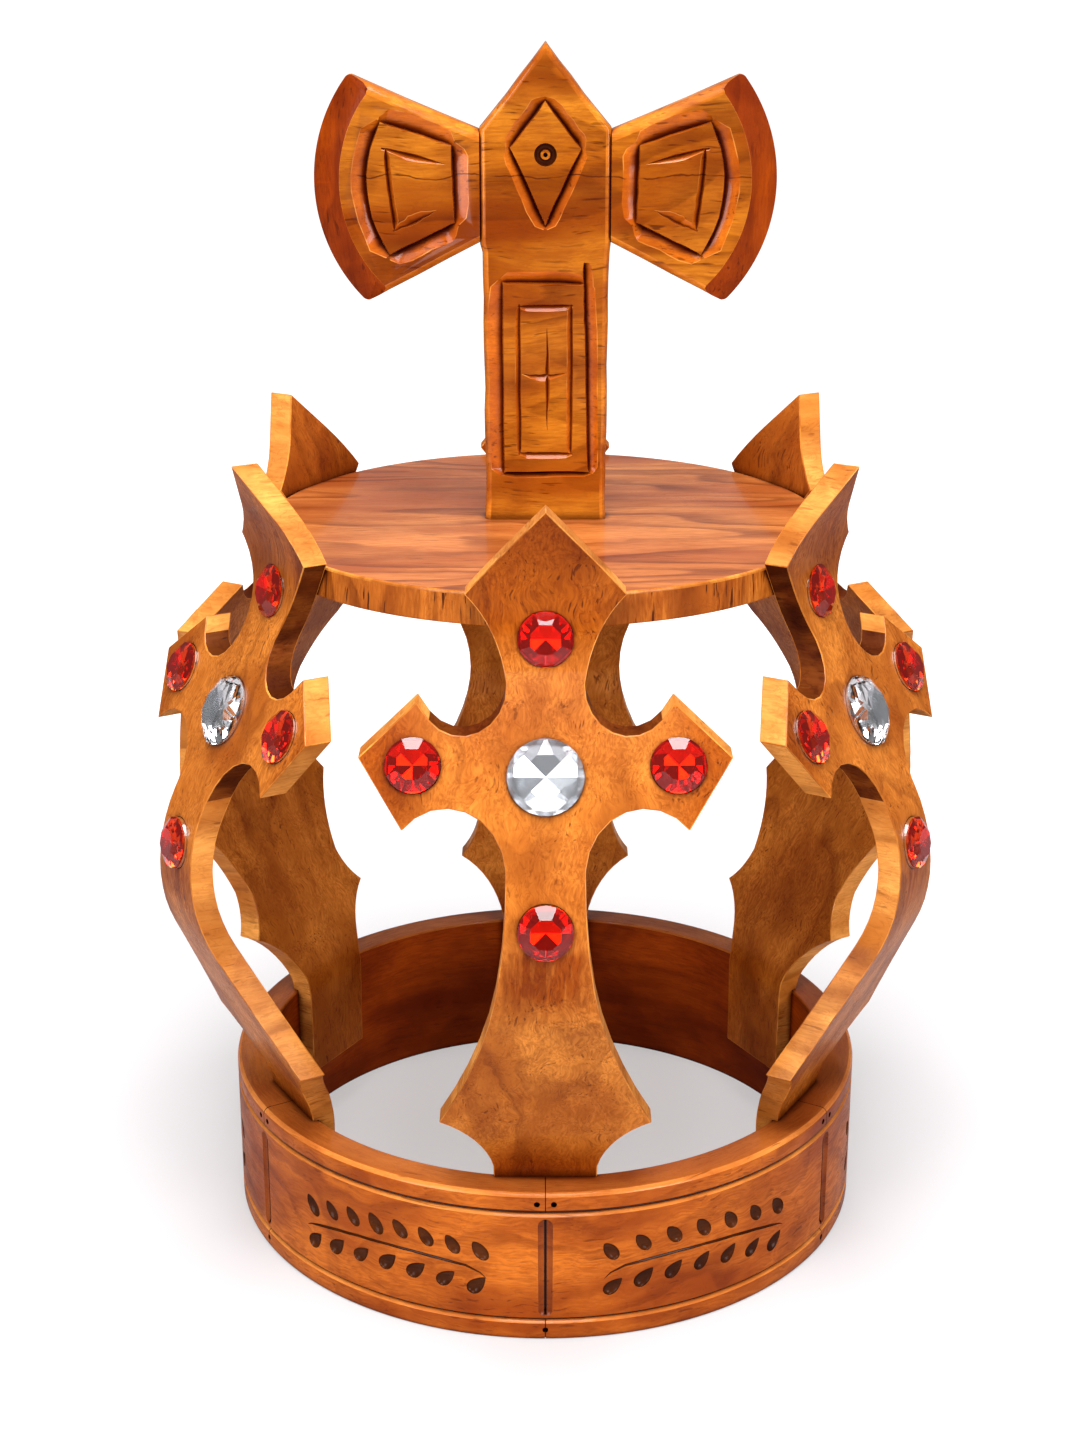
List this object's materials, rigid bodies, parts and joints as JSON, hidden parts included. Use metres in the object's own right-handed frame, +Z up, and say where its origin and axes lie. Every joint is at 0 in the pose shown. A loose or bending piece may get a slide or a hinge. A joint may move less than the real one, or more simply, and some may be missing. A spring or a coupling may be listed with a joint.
{
  "type": "wooden crown",
  "caption": "Closed wooden crown: a carved head ring, curved cross-shaped ribs set with round cut stones, and a top disc that carries a double-bladed axe.",
  "frame": {"origin": "centre of the ring's flat bottom face", "axes": "+Z up along the crown's axis, -Y to the front rib, +X to the right as seen from the front"},
  "size_m": [0.2572, 0.2696, 0.383],
  "materials": {
    "ring_wood": "satin varnished reddish brown, grain round the ring",
    "disc_wood": "satin varnished cherry brown",
    "rib_wood": "satin varnished golden amber with darker stain",
    "axe_wood": "glossy varnished orange amber with dark hollows",
    "red_stone": "clear ruby red, foil backed",
    "clear_stone": "colourless, foil backed"
  },
  "bodies": {
    "root": {"base_ring": "ring_wood", "top_disc": "disc_wood", "axe_post": "axe_wood", "axe_blade_left": "axe_wood", "axe_blade_right": "axe_wood", "rib_1": "rib_wood", "rib_2": "rib_wood", "rib_3": "rib_wood", "rib_4": "rib_wood", "rib_5": "rib_wood", "rib_6": "rib_wood", "stone_top_1": "red_stone", "stone_top_2": "red_stone", "stone_top_3": "red_stone", "stone_top_4": "red_stone", "stone_top_5": "red_stone", "stone_top_6": "red_stone", "stone_left_1": "red_stone", "stone_left_2": "red_stone", "stone_left_3": "red_stone", "stone_left_4": "red_stone", "stone_left_5": "red_stone", "stone_left_6": "red_stone", "stone_right_1": "red_stone", "stone_right_2": "red_stone", "stone_right_3": "red_stone", "stone_right_4": "red_stone", "stone_right_5": "red_stone", "stone_right_6": "red_stone", "stone_middle_1": "clear_stone", "stone_middle_2": "clear_stone", "stone_middle_3": "clear_stone", "stone_middle_4": "clear_stone", "stone_middle_5": "clear_stone", "stone_middle_6": "clear_stone", "stone_low_1": "red_stone", "stone_low_2": "red_stone", "stone_low_3": "red_stone", "stone_low_4": "red_stone", "stone_low_5": "red_stone", "stone_low_6": "red_stone"}
  },
  "joints": []
}
